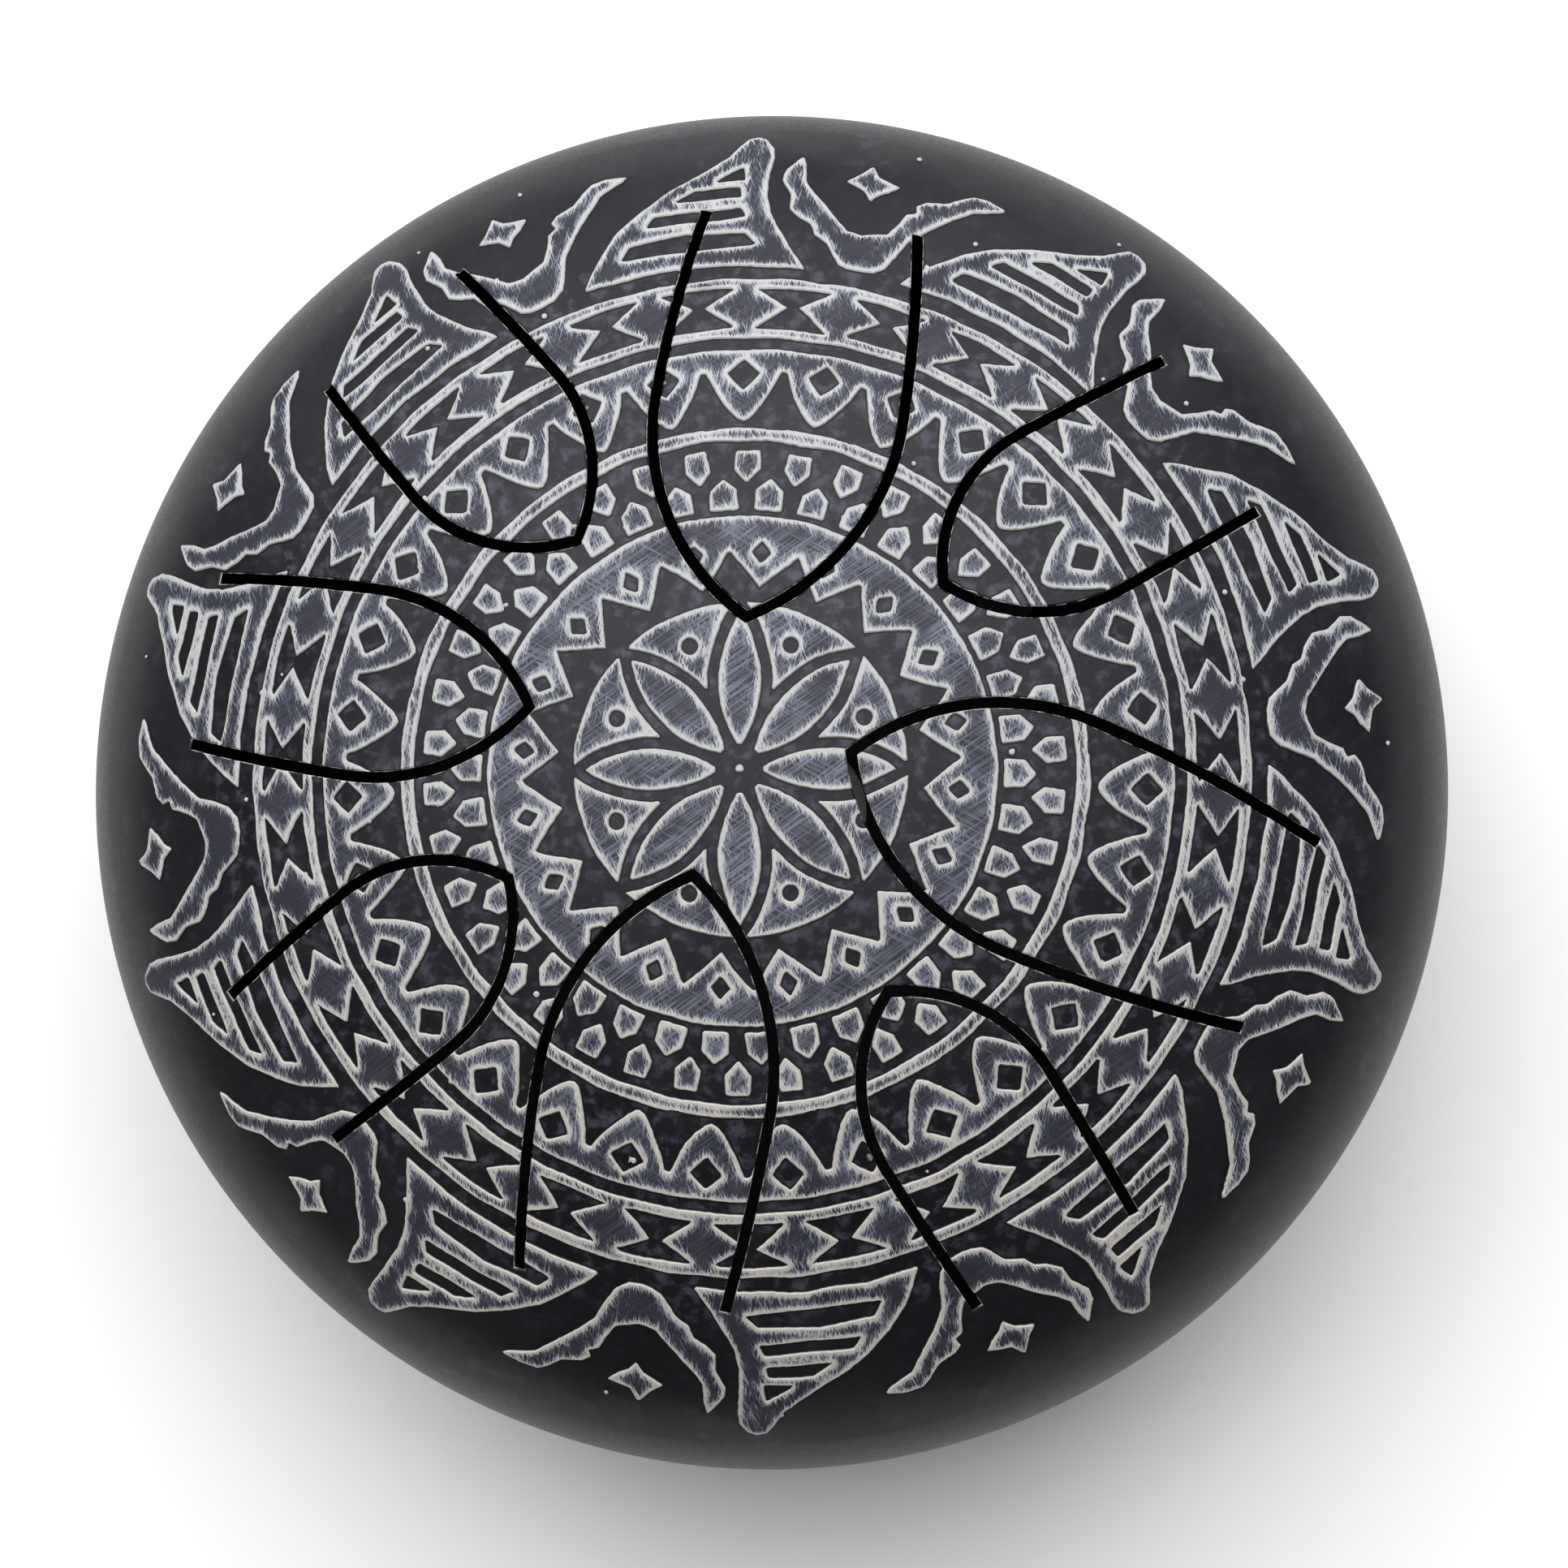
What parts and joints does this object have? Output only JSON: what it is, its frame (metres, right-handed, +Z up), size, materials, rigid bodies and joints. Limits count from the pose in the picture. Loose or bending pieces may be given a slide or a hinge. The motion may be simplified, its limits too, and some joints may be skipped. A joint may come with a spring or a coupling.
{
  "type": "steel tongue drum",
  "caption": "Round black steel tongue drum with leaf-shaped tongues slit in a patterned dome, a sound port below and rubber feet.",
  "frame": {"origin": "centre of the standing plane under the four rubber feet", "axes": "+Z up through the crown of the patterned shell, +Y to the top of the pattern, longest tongue towards +X and -Y"},
  "size_m": [0.3004, 0.3004, 0.1722],
  "materials": {
    "painted_steel": "satin black paint, raised motif worn to pale grey",
    "rubber": "matt",
    "zinc_steel": "bright zinc"
  },
  "bodies": {
    "drum": {"top_shell": "painted_steel", "bottom_shell": "painted_steel", "seam_weld": "painted_steel", "port_trim": "rubber", "foot_1": "rubber", "foot_2": "rubber", "foot_3": "rubber", "foot_4": "rubber", "foot_washer_1": "zinc_steel", "foot_washer_2": "zinc_steel", "foot_washer_3": "zinc_steel", "foot_washer_4": "zinc_steel", "foot_screw_1": "zinc_steel", "foot_screw_2": "zinc_steel", "foot_screw_3": "zinc_steel", "foot_screw_4": "zinc_steel", "foot_boss_1": "painted_steel", "foot_boss_2": "painted_steel", "foot_boss_3": "painted_steel", "foot_boss_4": "painted_steel"},
    "tongue_1": {"tongue_1": "painted_steel"},
    "tongue_2": {"tongue_2": "painted_steel"},
    "tongue_3": {"tongue_3": "painted_steel"},
    "tongue_4": {"tongue_4": "painted_steel"},
    "tongue_5": {"tongue_5": "painted_steel"},
    "tongue_6": {"tongue_6": "painted_steel"},
    "tongue_7": {"tongue_7": "painted_steel"},
    "tongue_8": {"tongue_8": "painted_steel"}
  },
  "joints": [
    {"name": "tongue_1_flex", "type": "hinge", "parent": "drum", "child": "tongue_1", "pos_m": [0.01277, 0.11989, 0.13741], "axis": [-0.9914, 0.1305, 0], "range_deg": [-0.5, 0.5], "stiffness_Nm_per_rad": 30},
    {"name": "tongue_2_flex", "type": "hinge", "parent": "drum", "child": "tongue_2", "pos_m": [-0.0785, 0.09817, 0.13424], "axis": [-0.749, -0.6626, 0], "range_deg": [-0.5, 0.5], "stiffness_Nm_per_rad": 30},
    {"name": "tongue_3_flex", "type": "hinge", "parent": "drum", "child": "tongue_3", "pos_m": [-0.11892, 0.02604, 0.13671], "axis": [-0.165, -0.9863, 0], "range_deg": [-0.5, 0.5], "stiffness_Nm_per_rad": 30},
    {"name": "tongue_4_flex", "type": "hinge", "parent": "drum", "child": "tongue_4", "pos_m": [-0.10153, -0.06191, 0.1384], "axis": [0.6018, -0.7986, 0], "range_deg": [-0.5, 0.5], "stiffness_Nm_per_rad": 30},
    {"name": "tongue_5_flex", "type": "hinge", "parent": "drum", "child": "tongue_5", "pos_m": [-0.02757, -0.10936, 0.1419], "axis": [0.9799, -0.1994, 0], "range_deg": [-0.5, 0.5], "stiffness_Nm_per_rad": 30},
    {"name": "tongue_6_flex", "type": "hinge", "parent": "drum", "child": "tongue_6", "pos_m": [0.06467, -0.103, 0.13678], "axis": [0.8572, 0.515, 0], "range_deg": [-0.5, 0.5], "stiffness_Nm_per_rad": 30},
    {"name": "tongue_7_flex", "type": "hinge", "parent": "drum", "child": "tongue_7", "pos_m": [0.11255, -0.03398, 0.13919], "axis": [0.3859, 0.9225, 0], "range_deg": [-0.5, 0.5], "stiffness_Nm_per_rad": 30},
    {"name": "tongue_8_flex", "type": "hinge", "parent": "drum", "child": "tongue_8", "pos_m": [0.09835, 0.07331, 0.13613], "axis": [-0.518, 0.8554, 0], "range_deg": [-0.5, 0.5], "stiffness_Nm_per_rad": 30}
  ]
}
